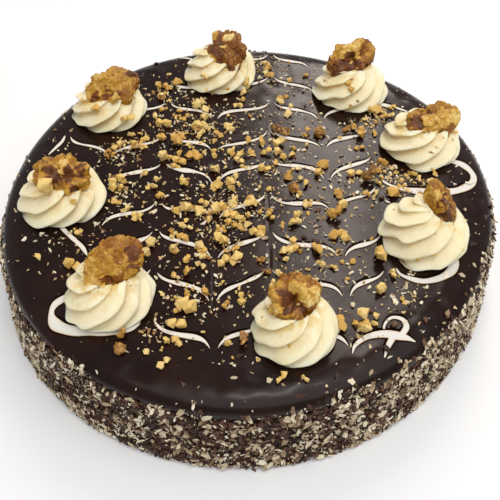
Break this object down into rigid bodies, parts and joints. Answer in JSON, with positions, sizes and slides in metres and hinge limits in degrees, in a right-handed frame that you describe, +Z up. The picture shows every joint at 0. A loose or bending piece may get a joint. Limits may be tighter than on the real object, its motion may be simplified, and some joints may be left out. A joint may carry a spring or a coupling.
{
  "type": "chocolate cake",
  "caption": "Round low chocolate cake with a poured glaze on top, flakes round its side, piped cream rosettes each topped with a walnut, and chopped nuts; food to serve or display.",
  "frame": {"origin": "middle of the foot: the bottom centre of the whole part's box, on the surface that it rests on", "axes": "+Z up, out of the glazed top; -Y towards the front as pictured, +X to the right"},
  "size_m": [0.2586, 0.2642, 0.0731],
  "materials": {
    "flake_coat": "dry matt chocolate flakes, dark brown and beige",
    "glaze": "smooth satin-gloss dark chocolate glaze",
    "cream": "soft satin pale cream",
    "walnut": "oily satin golden-brown nut",
    "icing": "thin satin white icing line",
    "chopped_nuts": "dry broken nut, golden",
    "flakes": "dry curled chocolate flakes"
  },
  "bodies": {
    "root": {"cake_body": "flake_coat", "ganache": "glaze", "rosette_1": "cream", "rosette_2": "cream", "rosette_3": "cream", "rosette_4": "cream", "rosette_5": "cream", "rosette_6": "cream", "rosette_7": "cream", "rosette_8": "cream", "walnut_1": "walnut", "walnut_2": "walnut", "walnut_3": "walnut", "walnut_4": "walnut", "walnut_5": "walnut", "walnut_6": "walnut", "walnut_7": "walnut", "walnut_8": "walnut"}
  },
  "joints": []
}
